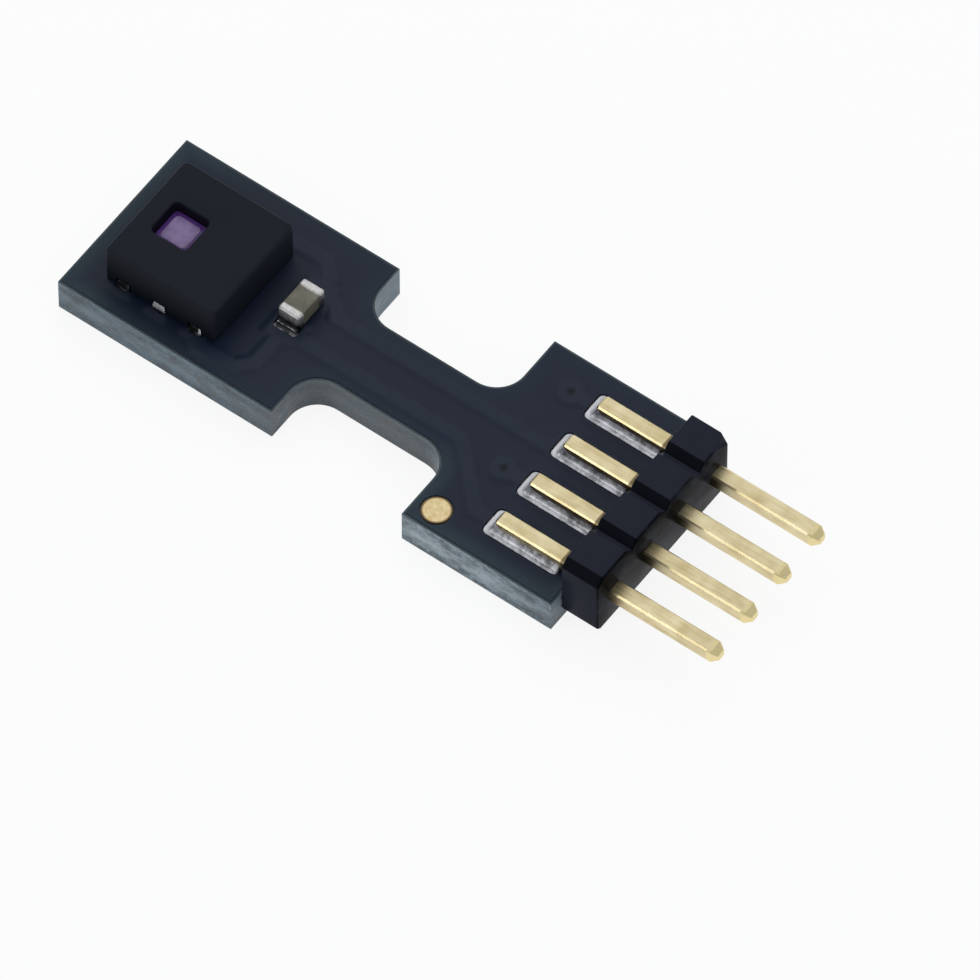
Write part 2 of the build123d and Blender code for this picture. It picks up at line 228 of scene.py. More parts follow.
# Small chips whiten the upper rim, and the resin of the border and under the coat is dark
upper_rim = laminate.z.rise(board_top - 0.195, board_top - 0.025) * chips.rise(0.3, 0.6)
edge_colour = (upper_rim * 0.25).tint(edge_colour, (0.30, 0.38, 0.41))
bare_face = laminate.z.rise(board_top - 0.015, board_top - 0.001)
edge_colour = bare_face.tint(edge_colour, (0.050, 0.078, 0.095))
under_coat = from_edge(laminate).rise(bare_border + 0.005, 2 * bare_border)
laminate.feed(Base_Color=under_coat.tint(edge_colour, (0.02, 0.026, 0.03)))
laminate.feed(Roughness=0.38 + 0.3 * streak)
laminate.bump(cloth * 0.6 + chips * 0.4, 0.7, 0.03)
laminate.cover(nodes["board_laminate"])

# The copper
# The traces and lands are thin copper foil bonded to the laminate and etched to shape. The coat
# hides most of it; the pads that stay open are plated, and so are the walls of the vias.

foil_thick = 0.035
copper = Finish("copper_foil", Metallic=1.0)
worn = copper.grain(6.0, 4.0)
dull_copper, clean_copper = (0.05, 0.035, 0.025), (0.12, 0.09, 0.07)
copper.feed(Base_Color=worn.rise(0.3, 0.7).tint(dull_copper, clean_copper))
copper.feed(Roughness=0.24 + 0.2 * worn)
foil = [o for name, o in nodes.items() if "copper" in name or name.startswith("spare_pad")]
copper.cover(*foil)

# The solder coats
# A liquid resin coat, blue-black, printed over both faces and cured. It runs smoothly up over each
# trace, so the copper shows as a low, slightly lighter band, and it dips where it plugs a via.
# Near the board's edge it thins, and a teal glow of light coming through the bare border is painted
# on it.

coat = Finish("solder_coat", Specular_IOR_Level=0.3)
mottle = coat.grain(0.55, 3.0, 0.55, seed=2.0)
coat_colour = (mottle * 0.9).tint((0.0055, 0.0132, 0.036), (0.0080, 0.0175, 0.044))
band_blue, via_black = (0.019, 0.031, 0.060), (0.001, 0.002, 0.005)
coat_colour = (coat.kept("over_copper") * 0.55).tint(coat_colour, band_blue)
coat_colour = (coat.kept("over_via") * 0.9).tint(coat_colour, via_black)
# the painted teal glow is strongest at the head's end and the foot's near side
head_side = coat.x.rise(head_end + 2.6, head_end + 0.2)
foot_side = coat.x.rise(foot_notch - 0.6, foot_notch + 0.3) * coat.y.rise(0.6, -1.4)
painted_glow_amount = (0.25 + 0.6 * mottle) * (0.18 + 0.7 * head_side.most(foot_side))
painted_edge_glow = from_edge(coat).rise(0.55, 0.02) * painted_glow_amount
coat.feed(Base_Color=painted_edge_glow.tint(coat_colour, (0.042, 0.084, 0.102)))
coat.feed(Roughness=0.40 + 0.10 * coat.grain(3.0, 2.0))
coat.bump(coat.grain(1.6, 2.0, 0.4), 0.15, 0.02)
coat.cover(nodes["bottom_solder_mask"])


def outline(inset):
    """The board's outline as a loop of points, pulled in by inset."""
    near = [(head_end + inset, inset - half_head), (head_notch - inset, inset - half_head)]
    bend, steps, arc_line = routed_radius + inset, 12, half_neck + routed_radius
    for middle_x, start in ((head_notch + routed_radius, 180), (foot_notch - routed_radius, 90)):
        for step in range(steps + 1):
            turn = math.radians(start - 90 * step / steps)
            near.append((middle_x + bend * math.cos(turn), bend * math.sin(turn) - arc_line))
    near += [(foot_notch + inset, inset - half_foot), (foot_end - inset, inset - half_foot)]
    return near + [(x, -y) for x, y in reversed(near)]


def rounded(low, high, radius, steps=6, sides=1):
    """A rectangle with round corners as a loop of points, its straight sides in sides parts."""
    (x0, y0), (x1, y1) = low, high
    arcs = []
    for x, y, start in ((x0, y0, 180), (x1, y0, 270), (x1, y1, 0), (x0, y1, 90)):
        across = x + radius if start in (180, 90) else x - radius
        along = y + radius if start in (180, 270) else y - radius
        turns = [math.radians(start + 90 * step / steps) for step in range(steps + 1)]
        arcs.append([(across + radius * math.cos(a), along + radius * math.sin(a)) for a in turns])
    loop = []
    for arc, following in zip(arcs, arcs[1:] + arcs[:1]):
        (x0, y0), (x1, y1) = arc[-1], following[0]
        shares = [k / sides for k in range(1, sides)]
        loop += arc + [(x0 + (x1 - x0) * share, y0 + (y1 - y0) * share) for share in shares]
    return loop


def grown_box(name, gap):
    """The X range and the Y range of a node, each grown by gap at both ends."""
    low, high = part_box(name)
    return [(low[i] / mm - gap, high[i] / mm + gap) for i in range(2)]


# The sheet has an opening round each joint and the test pad
opening_gap = {"header": 0.06, "sensor": 0.02, "capacitor": -0.02}
opening_corner = {"header": 0.15, "sensor": 0.07, "capacitor": 0.07}
cap_near_end = grown_box("capacitor_terminal_1", 0.0)[1][0]
cap_far_end = grown_box("capacitor_terminal_2", 0.0)[1][1]
near_cap_opens, far_cap_opens, far_cap_narrower = 0.19, 0.06, 0.03
coat_loops = [outline(bare_border)]
for name in nodes:
    if "_solder_" in name and "mask" not in name:
        held = name.split("_")[0]
        (x0, x1), (y0, y1) = grown_box(name, opening_gap[held])
        if name == "capacitor_solder_1":
            y0 = cap_near_end - near_cap_opens
        if name == "capacitor_solder_2":
            y1 = cap_far_end + far_cap_opens
            x0, x1 = grown_box("capacitor_terminal_2", -far_cap_narrower)[0]
        coat_loops.append(rounded((x0, y0), (x1, y1), opening_corner[held]))
round_land, almost, circle_steps = grown_box("test_pad", 0.05), 0.001, 14
(x0, x1), (y0, y1) = round_land
coat_loops.append(rounded((x0, y0), (x1, y1), (x1 - x0) / 2 - almost, circle_steps))

# The foil's upper faces and its walls, on the top side of the board
lids, walls = [], []
for thing in foil:
    for face in thing.data.polygons:
        corners = [thing.data.vertices[i].co.copy() for i in face.vertices]
        upright, level = abs(face.normal.z) < 0.1, face.normal.z > 0.9
        above_board = corners[0].z / mm - board_top
        if upright and above_board > -0.01:
            walls.append(corners)
        if level and above_board > foil_thick - 0.005:
            lids.append(corners)


def loose_faces(faces):
    """Faces given by their corners, as one list of points and one of the faces' numbers."""
    points = [point for face in faces for point in face]
    counts = np.cumsum([0] + [len(face) for face in faces])
    return points, [list(range(a, b)) for a, b in zip(counts, counts[1:])]


# Points fill the sheet: close together near the foil's walls, where it climbs, and sparse elsewhere
fine_step, coarse_every, climb_zone, wall_middle = 0.034, 5, 0.25, 0.02
copper_walls = BVHTree.FromPolygons(*loose_faces(walls))
fill = []
for i, x in enumerate(np.arange(head_end, foot_end, fine_step)):
    for j, y in enumerate(np.arange(-half_foot, half_foot, fine_step)):
        coarse = i % coarse_every == 0 and j % coarse_every == 0
        spot = Vector((x * mm, y * mm, board_high[2] + wall_middle * mm))
        if coarse or copper_walls.find_nearest(spot, climb_zone * mm)[0] is not None:
            fill.append((x, y))
fill = np.array(fill)
starts = np.array([p for loop in coat_loops for p in loop])
ends = np.array([p for loop in coat_loops for p in loop[1:] + loop[:1]])


def in_coat(points):
    """Which points have an odd count of loop edges beyond them along X, and so lie in the coat."""
    x, y = points[:, :1], points[:, 1:]
    straddles = (starts[:, 1] > y) != (ends[:, 1] > y)
    climb = np.where(ends[:, 1] == starts[:, 1], 1.0, ends[:, 1] - starts[:, 1])
    meets = starts[:, 0] + (y - starts[:, 1]) / climb * (ends[:, 0] - starts[:, 0])
    return (straddles & (meets > x)).sum(axis=1) % 2 == 1


def clear_of_loops(points, gap):
    """Which points lie at least gap from every loop edge."""
    run = ends - starts
    offset = points[:, None, :] - starts
    share = np.clip((offset * run).sum(axis=2) / (run * run).sum(axis=1), 0.0, 1.0)
    apart = offset - share[..., None] * run
    return np.hypot(*np.moveaxis(apart, 2, 0)).min(axis=1) > gap


def loose_object(name, mesh):
    thing = bpy.data.objects.new(name, mesh)
    bpy.context.scene.collection.objects.link(thing)
    return thing


fill = fill[in_coat(fill) & clear_of_loops(fill, fine_step / 2)]
loop_edges, first = [], 0
for loop in coat_loops:
    loop_edges += [(first + i, first + (i + 1) % len(loop)) for i in range(len(loop))]
    first += len(loop)
all_points, whole_hull, same_point = [Vector(p) for p in [*starts, *fill]], 0, 1e-6
sheet_points, _, sheet_faces, *_ = delaunay_2d_cdt(
    all_points, loop_edges, [], whole_hull, same_point
)
sheet_points = np.array(sheet_points)
kept_faces = in_coat(sheet_points[np.array(sheet_faces)].mean(axis=1))
coat_base = board_high[2] + 0.025 * mm
sheet = bpy.data.meshes.new("coat_sheet")
sheet.from_pydata(
    [(x * mm, y * mm, coat_base) for x, y in sheet_points],
    [],
    [face for face, stays in zip(sheet_faces, kept_faces) if stays],
)
trim = bmesh.new()
trim.from_mesh(sheet)
bmesh.ops.delete(trim, geom=[v for v in trim.verts if not v.link_faces], context="VERTS")
trim.to_mesh(sheet)
trim.free()

lid_mesh = bpy.data.meshes.new("copper_lids")
lid_points, lid_faces = loose_faces(lids)
lid_mesh.from_pydata([(p.x, p.y, coat_base) for p in lid_points], [], lid_faces)
copper_lids = loose_object("copper_lids", lid_mesh)

# The two vias of the foot lie in the round ends of the data and the clock trace
via_land = 0.25
via_points = []
for name in ("data_copper", "clock_copper"):
    low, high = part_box(name)
    via_points.append((low[0] + via_land * mm, (low[1] + high[1]) / 2, coat_base))
via_mesh = bpy.data.meshes.new("via_centres")
via_mesh.from_pydata(via_points, [], [])
via_centres = loose_object("via_centres", via_mesh)


def recipe(name, **inputs):
    """A geometry tree with inputs given as name=socket kind; the tree and a strand for each."""
    tree = bpy.data.node_groups.new(name, "GeometryNodeTree")
    for label, kind in {"Geometry": "NodeSocketGeometry", **inputs}.items():
        tree.interface.new_socket(label, in_out="INPUT", socket_type=kind)
    tree.interface.new_socket("Geometry", in_out="OUTPUT", socket_type="NodeSocketGeometry")
    given = tree.nodes.new("NodeGroupInput")
    return tree, [Strand(tree, socket) for socket in given.outputs[: 1 + len(inputs)]]


def made_by(tree, result, material, base, **values):
    """End the tree in real meshes with their material, run it on base, and keep a plain mesh."""
    real = result.node("GeometryNodeRealizeInstances", None, {0: result})
    dressed = real.node("GeometryNodeSetMaterial", None, {"Geometry": real, "Material": material})
    last = tree.nodes.new("NodeGroupOutput")
    tree.links.new(dressed.socket, last.inputs[0])
    step = base.modifiers.new(tree.name, "NODES")
    step.node_group = tree
    for item in tree.interface.items_tree:
        if item.name in values:
            step[item.identifier] = values[item.name]
    evaluated = base.evaluated_get(bpy.context.evaluated_depsgraph_get())
    mesh = bpy.data.meshes.new_from_object(evaluated)
    name = base.name
    bpy.data.objects.remove(base)
    mesh.name = name
    return loose_object(name, mesh)


def seat(piece, slot, *stands_for):
    """Shade a finished piece smooth up to its creases and put it in the place of CAD nodes."""
    crease = math.radians(35)
    piece.data.polygons.foreach_set("use_smooth", [True] * len(piece.data.polygons))
    piece.data.set_sharp_from_angle(angle=crease)
    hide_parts(*stands_for)
    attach(piece, "root")


# The sheet climbs the foil's height over each lid, falls off beside it, and dips at each via
via_hole, via_rim, band_fade = 0.06, 0.13, 0.12
tree, (flat, lid, centre, climb, spread, dip) = recipe(
    "coat_over_copper",
    Copper="NodeSocketObject",
    Vias="NodeSocketObject",
    Climb="NodeSocketFloat",
    Spread="NodeSocketFloat",
    Dip="NodeSocketFloat",
)


def distance_from(target, elements):
    """How far each point lies from an object's faces or points, in metres."""
    shape = target.node("GeometryNodeObjectInfo", None, {"Object": target}, output="Geometry")
    settings = {"target_element": elements}
    return shape.node("GeometryNodeProximity", settings, {0: shape}, output="Distance")


off_copper, off_via = distance_from(lid, "FACES"), distance_from(centre, "POINTS")
on_via = off_via.rise(via_rim * mm, via_hole * mm)
lift = off_copper.rise(spread, 0.0) * climb - on_via * dip
offset = lift.node("ShaderNodeCombineXYZ", None, {2: lift})
raised = flat.node("GeometryNodeSetPosition", None, {"Geometry": flat, "Offset": offset})
on_copper = off_copper.rise(band_fade * mm, 0.0)
for label, value in (("over_copper", on_copper), ("over_via", on_via)):
    raised = raised.node(
        "GeometryNodeStoreNamedAttribute",
        {"data_type": "FLOAT", "domain": "POINT"},
        {"Geometry": raised, "Name": label, "Value": value},
    )
top_coat = made_by(
    tree, raised, coat.material, loose_object("top_coat", sheet), Copper=copper_lids,
    Vias=via_centres, Climb=foil_thick * mm, Spread=0.23 * mm, Dip=0.015 * mm,
)
bpy.data.objects.remove(copper_lids)
bpy.data.objects.remove(via_centres)

# Its rims turn down to the laminate
skirt = bmesh.new()
skirt.from_mesh(top_coat.data)
rims = [edge for edge in skirt.edges if edge.is_boundary]
for vertex in bmesh.ops.extrude_edge_only(skirt, edges=rims)["geom"]:
    if isinstance(vertex, bmesh.types.BMVert):
        vertex.co.z = board_high[2]
skirt.to_mesh(top_coat.data)
skirt.free()
seat(top_coat, "solder_mask", "top_solder_mask")

# The test pad
# A round land of copper near the foot's near corner, gold plated. It is etched with the traces,
# and the coat stays open round it, so that a probe can touch it.

gold_land = Finish("gold_land", Metallic=1.0)
rubbed = gold_land.grain(9.0, 4.0)
land_x, land_y = grown_box("test_pad", 0.0)
off_x, off_y = gold_land.x - sum(land_x) / 2, gold_land.y - sum(land_y) / 2
from_middle = (off_x ** 2.0 + off_y ** 2.0) ** 0.5
land_rim = (land_x[1] - land_x[0]) / 2 - 0.03
brown_rim = (from_middle + rubbed * 0.02).rise(land_rim - 0.01, land_rim + 0.015)
land_gold = rubbed.rise(0.3, 0.75).tint((0.78, 0.58, 0.28), (0.98, 0.86, 0.53))
gold_land.feed(Base_Color=(brown_rim * 0.8).tint(land_gold, (0.16, 0.08, 0.025)))
gold_land.feed(Roughness=0.36 + 0.2 * rubbed)
gold_land.bump(rubbed, 0.3, 0.01)
gold_land.cover(nodes["test_pad"])

# The solder joints
# Tin solder, melted once round each lead. It wets the pad to its edge and climbs the metal in a
# hollow curve; it froze grey and rough at the header and bright at the small parts, where it is
# painted dark as a reflection of dark surroundings.

# At the header a painted highlight makes it whitest at the blob past each tail's end, and a painted
# glint against the strip
frosted = Finish("frosted_solder", Metallic=1.0)
frost = frosted.grain(7.0, 4.0, 0.6)
ripple = frosted.grain(3.0, 2.0, 0.5, seed=3.0)
blob_highlight = frosted.x.rise(foot_end - 2.0, foot_end - 2.25)
strip_glint = frosted.x.rise(foot_end - 0.17, foot_end - 0.06)
clean_and_glint = (frost * 0.6 + ripple * 0.4).rise(0.35, 0.60).most(blob_highlight * 0.9).most(strip_glint * 0.85)
frosted.feed(Base_Color=clean_and_glint.tint((0.27, 0.27, 0.28), (0.93, 0.93, 0.96)))
frosted.feed(Roughness=(0.28 + 0.3 * frost).most(blob_highlight * 0.5))
frosted.bump(ripple * 0.6 + frost * 0.4, 0.8, 0.03)

# At the small parts it is painted near black as a dark reflection, with a painted glint at the
# middle lead and a dot at the last
shaded_glinting = Finish("stained_solder", Metallic=1.0)
tin_mottle = shaded_glinting.grain(4.0, 3.0, 0.6)
middle_lead = sum(grown_box("sensor_solder_2", 0.0)[0]) / 2
last_lead = grown_box("sensor_solder_3", 0.0)[0][1] - 0.05
glint_on_middle = abs(shaded_glinting.x - middle_lead).rise(0.22, 0.12)
painted_glint = glint_on_middle.most(abs(shaded_glinting.x - last_lead).rise(0.06, 0.03)) * shaded_glinting.z.rise(1.07, 1.12)
reflection_dark_tin = tin_mottle.rise(0.42, 0.72).tint((0.035, 0.036, 0.038), (0.42, 0.42, 0.42))
shaded_glinting.feed(Base_Color=(painted_glint * 0.95).tint(reflection_dark_tin, (0.95, 0.95, 0.95)))
shaded_glinting.feed(Roughness=0.10 + 0.12 * tin_mottle + 0.16 * painted_glint)
shaded_glinting.bump(tin_mottle, 0.5, 0.02)


def collar(name, *rings):
    """A base for a joint: quads from each outer loop in to its inner one, as (outer, inner, peaks).

    Each point keeps its share of the way in as "climb", and as "peak" the height at the metal.
    """
    steps, crowding = 10, 1.4
    points, faces, climbs, peaks = [], [], [], []
    for outer, inner, tops in rings:
        first, count = len(points), len(outer)
        for step in range(steps + 1):
            share = (step / steps) ** crowding
            level = board_top + (foil_thick if step else 0.0)
            for (x0, y0), (x1, y1), top in zip(outer, inner, tops):
                place = (x0 + (x1 - x0) * share, y0 + (y1 - y0) * share, level)
                points.append(tuple(v * mm for v in place))
                climbs.append(share)
                peaks.append(top * mm)
        for step in range(steps):
            for i in range(count):
                a, b = first + step * count + i, first + step * count + (i + 1) % count
                faces.append((a, b, b + count, a + count))
    mesh = bpy.data.meshes.new(name)
    mesh.from_pydata(points, [], faces)
    for label, values in (("climb", climbs), ("peak", peaks)):
        mesh.attributes.new(label, "FLOAT", "POINT").data.foreach_set("value", values)
    return loose_object(name, mesh)


def melted(base, finish, count, pitch, lump, seed, hollow=4.0):
    """Repeat the base along a line, raise each joint to its peaks and ripple it."""
    tree, (joint, number, step, lumps, curve, chance) = recipe(
        "melted_joint",
        Count="NodeSocketInt",
        Pitch="NodeSocketVector",
        Lump="NodeSocketFloat",
        Hollow="NodeSocketFloat",
        Seed="NodeSocketFloat",
    )
    row = joint.node("GeometryNodeMeshLine", {"mode": "OFFSET"}, {"Count": number, "Offset": step})
    joints = row.node("GeometryNodeInstanceOnPoints", None, {"Points": row, "Instance": joint})
    joints = joints.node("GeometryNodeRealizeInstances", None, {0: joints})
    climb, peak = (
        joints.node("GeometryNodeInputNamedAttribute", {"data_type": "FLOAT"}, {"Name": label})
        for label in ("climb", "peak")
    )
    place = joints.node("GeometryNodeInputPosition")
    place = place.node(
        "ShaderNodeVectorMath", {"operation": "SCALE"}, {0: place, "Scale": 1.0 / mm}
    )
    waves = place.node(
        "ShaderNodeTexNoise",
        {"noise_dimensions": "4D"},
        {"Vector": place, "W": chance, "Scale": 3.5, "Detail": 1.5},
    )
    rounding, round_share, average_wave = climb ** 0.5, 0.18, 0.45
    height = peak * (round_share * rounding + (1.0 - round_share) * climb ** curve)
    height = height + lumps * (waves - average_wave) * rounding
    lift = height.node("ShaderNodeCombineXYZ", None, {2: height})
    raised = joints.node("GeometryNodeSetPosition", None, {"Geometry": joints, "Offset": lift})
    return made_by(
        tree, raised, finish.material, base,
        Count=count, Pitch=pitch, Lump=lump * mm, Hollow=hollow, Seed=seed,
    )


# At the header each joint runs round the tail, high at its end and low along its sides
over_pad, into_tail_end, into_tail_side, short_of_strip = 0.035, 0.03, 0.005, 0.02
pad_corner, tail_corner, corner_steps, side_parts = 0.13, 0.03, 6, 26
(x0, x1), (y0, y1) = grown_box("header_solder_1", over_pad)
(tail_start, _), (tail_near, tail_far) = grown_box("header_pin_1", 0.0)
next_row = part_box("header_solder_2")[0][1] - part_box("header_solder_1")[0][1]
pad_loop = rounded((x0, y0), (x1, y1), pad_corner, corner_steps, side_parts)
tail_loop = rounded(
    (tail_start + into_tail_end, tail_near + into_tail_side),
    (x1 - short_of_strip, tail_far - into_tail_side), tail_corner, corner_steps, side_parts,
)
side_peak, end_peak, end_length = 0.21, 0.19, 0.16
tail_peaks = [
    side_peak + end_peak * max(0.0, 1.0 - (x - tail_start) / end_length) for x, y in tail_loop
]
header_joints = melted(
    collar("header_joints", (pad_loop, tail_loop, tail_peaks)),
    frosted, count=4, pitch=(0.0, next_row, 0.0), lump=0.05, seed=2.0,
)
seat(header_joints, "solder", *[f"header_solder_{i}" for i in range(1, 5)])

# At the sensor a short toe climbs the end of each lead, on both sides of the body
side_parts, under_body, lead_inset, toe_peak = 6, 0.1, 0.06, 0.22
over_pad, toe_corner, lead_corner = 0.015, 0.05, 0.02
package_x, package_y = grown_box("sensor_body", 0.0)
toes = []
for number, wall, side in ((1, package_y[0], -1), (4, package_y[1], 1)):
    (x0, x1), toe_y = grown_box(f"sensor_solder_{number}", over_pad)
    tip, hidden = (toe_y[0], wall + under_body) if side < 0 else (toe_y[1], wall - under_body)
    outer = rounded(
        (x0, min(tip, hidden)), (x1, max(tip, hidden)), toe_corner, corner_steps, side_parts
    )
    inner = rounded(
        (x0 + lead_inset, min(wall, hidden)), (x1 - lead_inset, max(wall, hidden)), lead_corner,
        corner_steps, side_parts,
    )
    toes.append((outer, inner, [toe_peak] * len(outer)))
next_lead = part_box("sensor_solder_2")[0][0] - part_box("sensor_solder_1")[0][0]
sensor_joints = melted(
    collar("sensor_joints", *toes),
    shaded_glinting, count=3, pitch=(next_lead, 0.0, 0.0), lump=0.05, seed=5.0, hollow=1.3,
)
seat(sensor_joints, "solder", *[f"sensor_solder_{i}" for i in range(1, 7)])

# At the capacitor each joint hugs the cap on its pad, and the far one is no wider than the cap
side_parts, near_toe, far_toe, cap_peak, flank_peak = 8, 0.21, 0.045, 0.22, 0.08
foot_corner, cap_corner, cap_inset, into_cap, at_end = 0.08, 0.05, 0.04, 0.01, 0.1
feet = []
for number, end, side in ((1, cap_near_end, -1), (2, cap_far_end, 1)):
    (x0, x1), foot_y = grown_box(f"capacitor_solder_{number}", over_pad)
    tip, inner_end = (end - near_toe, foot_y[1]) if side < 0 else (end + far_toe, foot_y[0])
    if side > 0:
        x0, x1 = grown_box("capacitor_terminal_2", -cap_inset)[0]
    outer = rounded(
        (x0, min(tip, inner_end)), (x1, max(tip, inner_end)), foot_corner, corner_steps, side_parts
    )
    hugged = end - side * into_cap
    inner = rounded(
        (x0 + cap_inset, min(hugged, inner_end)), (x1 - cap_inset, max(hugged, inner_end)),
        cap_corner, corner_steps, side_parts,
    )
    peaks = [cap_peak if abs(y - end) < at_end else flank_peak for x, y in inner]
    feet.append((outer, inner, peaks))
capacitor_joints = melted(
    collar("capacitor_joints", *feet),
    shaded_glinting, count=1, pitch=(0.0, 0.0, 0.0), lump=0.14, seed=8.0,
)
seat(capacitor_joints, "solder", "capacitor_solder_1", "capacitor_solder_2")

# The sensor package
# A black epoxy body moulded round a lead frame, with an open well in its lid. A violet silicon
# die lies in the well, and a square film on the die takes up water from the air.

package_low, package_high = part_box("sensor_body")
package_foot, package_top = package_low[2] / mm, package_high[2] / mm
well_half_wider, well_wall = 0.2, 0.01
well_x, well_y = grown_box("sensing_film", well_half_wider)
moulding = Finish("moulding_compound", Specular_IOR_Level=0.14)
filler = moulding.grain(22.0, 3.0, 0.6)
cloud = moulding.grain(0.9, 2.0, seed=1.0)
epoxy = (filler * 0.4 + cloud * 0.6).tint((0.0130, 0.0168, 0.0255), (0.0188, 0.0238, 0.0350))
# its near side and the well's walls are painted dark, as shade
painted_near_shade = moulding.y.rise(package_y[0] + 0.05, package_y[0])
painted_near_shade = painted_near_shade * moulding.z.rise(package_top, package_top - 0.1)
epoxy = (painted_near_shade * 0.75).tint(epoxy, (0.003, 0.005, 0.009))
painted_well_shade = moulding.z.rise(package_top - 0.03, package_top - 0.08)
for along, (low, high) in ((moulding.x, well_x), (moulding.y, well_y)):
    painted_well_shade = painted_well_shade * along.rise(low - 2 * well_wall, low - well_wall)
    painted_well_shade = painted_well_shade * along.rise(high + 2 * well_wall, high + well_wall)
moulding.feed(Base_Color=(painted_well_shade * 0.9).tint(epoxy, (0.005, 0.002, 0.011)))
moulding.feed(Roughness=0.52 + 0.16 * filler)
moulding.bump(filler, 0.35, 0.008)


def shell(name, levels, finish):
    """A piece drawn as loops with equal numbers of points, each at its height, skinned in turn."""
    count = len(levels[0][0])
    points = [(x * mm, y * mm, z * mm) for loop, z in levels for x, y in loop]
    faces = [tuple(reversed(range(count)))]
    for level in range(len(levels) - 1):
        for i in range(count):
            a, b = level * count + i, level * count + (i + 1) % count
            faces.append((a, b, b + count, a + count))
    faces.append(tuple(range(len(points) - count, len(points))))
    mesh = bpy.data.meshes.new(name)
    mesh.from_pydata(points, [], faces)
    made = loose_object(name, mesh)
    finish.cover(made)
    return made


def square(box_x, box_y, inset, radius):
    """A range of X and one of Y as a loop with round corners, pulled in by inset."""
    low, high = (box_x[0] + inset, box_y[0] + inset), (box_x[1] - inset, box_y[1] - inset)
    return rounded(low, high, radius)


# The body rises straight, rounds over to its lid, and turns down a soft lip into the well
edge_round, corner_round, lip, well_corner, well_draft = 0.09, 0.13, 0.03, 0.14, 0.07
well_depth = package_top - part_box("sensor_die")[1][2] / mm
package_levels = [(square(package_x, package_y, 0.0, corner_round), package_foot)]
for angle in (0, 22.5, 45, 67.5, 90):
    tuck = edge_round * (1 - math.cos(math.radians(angle)))
    rise = edge_round * (math.sin(math.radians(angle)) - 1)
    package_levels.append((square(package_x, package_y, tuck, corner_round), package_top + rise))
for tuck, drop in ((-lip, 0.0), (-lip * 0.3, lip * 0.3), (0.0, lip), (well_draft, well_depth)):
    package_levels.append((square(well_x, well_y, tuck, well_corner), package_top - drop))
package = shell("sensor_package", package_levels, moulding)
seat(package, "moulding", "sensor_body")

silicon = Finish("violet_silicon", Specular_IOR_Level=0.5)
die_cloud = silicon.grain(4.0, 2.0)
silicon.feed(Base_Color=die_cloud.tint((0.085, 0.030, 0.22), (0.165, 0.058, 0.33)))
silicon.feed(Roughness=0.22 + 0.2 * die_cloud)


def block(name, low, high, radius, finish, segments=3):
    """A block between two corners in metres, its edges rounded by radius."""
    shape = bmesh.new()
    bmesh.ops.create_cube(shape, size=1.0)
    for vertex in shape.verts:
        vertex.co = [(a + b) / 2 + c * (b - a) for a, b, c in zip(low, high, vertex.co)]
    bmesh.ops.bevel(
        shape, geom=shape.edges[:] + shape.verts[:], offset=radius * mm, segments=segments,
        profile=0.5, affect="EDGES",
    )
    mesh = bpy.data.meshes.new(name)
    shape.to_mesh(mesh)
    shape.free()
    made = loose_object(name, mesh)
    finish.cover(made)
    return made


# The die's face stands higher in the window than the solid's, as far down as it looks in the well
die_low, die_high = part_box("sensor_die")
film_low, film_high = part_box("sensing_film")
window_rise, window_half, face_overlap, die_edge = 0.12 * mm, 0.45 * mm, 0.1 * mm, 0.01
window_x, window_y = ((film_low[i] + film_high[i]) / 2 for i in range(2))
die_piece = block("die_block", die_low, die_high, die_edge, silicon)
die_face = block(
    "die_face",
    (window_x - window_half, window_y - window_half, die_high[2] - face_overlap),
    (window_x + window_half, window_y + window_half, die_high[2] + window_rise),
    die_edge, silicon,
)
joined = bmesh.new()
joined.from_mesh(die_piece.data)
joined.from_mesh(die_face.data)
joined.to_mesh(die_piece.data)
joined.free()
bpy.data.objects.remove(die_face)
seat(die_piece, "silicon", "sensor_die")

film = Finish("sensing_film")
film_speck = film.grain(7.0, 2.0)
film_violet = film_speck.rise(0.2, 0.85).tint((0.29, 0.195, 0.43), (0.41, 0.295, 0.555))
film.feed(Base_Color=film_violet)
film.feed(Roughness=0.30 + 0.2 * film_speck)
film_x, film_y = grown_box("sensing_film", 0.05)
film_top, film_corner = (film_high[2] + window_rise) / mm, 0.12
film_levels = [
    (square(film_x, film_y, tuck, film_corner), film_top - drop)
    for tuck, drop in ((0.0, 0.024), (0.0, 0.01), (0.012, 0.0))
]
film_patch = shell("film_patch", film_levels, film)
seat(film_patch, "film", "sensing_film")

lead_metal = Finish("plated_lead", Metallic=1.0)
lead_wear = lead_metal.grain(8.0, 3.0)
lead_metal.feed(Base_Color=lead_wear.tint((0.55, 0.50, 0.42), (0.80, 0.77, 0.70)))
lead_metal.feed(Roughness=0.28 + 0.2 * lead_wear)
sensor_leads = [o for name, o in nodes.items() if name.startswith("sensor_lead")]
lead_metal.cover(nodes["die_paddle"], *sensor_leads)

# The chip capacitor
# A fired ceramic block, grey brown, with a tin-plated cap baked on over each end. It stands on
# its two pads, held by the solder, and the foot of each cap is painted dark brown, as shade.

ceramic = Finish("fired_ceramic")
pores = ceramic.grain(16.0, 4.0, 0.6)
fired = (pores * 0.4 + ceramic.grain(2.5, 2.0, seed=5.0) * 0.6).rise(0.3, 0.7)
ceramic.feed(Base_Color=fired.tint((0.16, 0.145, 0.105), (0.28, 0.265, 0.20)))
ceramic.feed(Roughness=0.38 + 0.2 * pores)
ceramic.bump(pores, 0.3, 0.006)
fired_block = block("fired_block", *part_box("capacitor_body"), 0.02, ceramic)
seat(fired_block, "ceramic", "capacitor_body")

tin_cap = Finish("tin_cap", Metallic=0.9)
dull = tin_cap.grain(9.0, 4.0, 0.6)
cap_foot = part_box("capacitor_terminal_1")[0][2] / mm
clean_cap = dull.rise(0.25, 0.7).tint((0.62, 0.60, 0.58), (0.90, 0.88, 0.86))
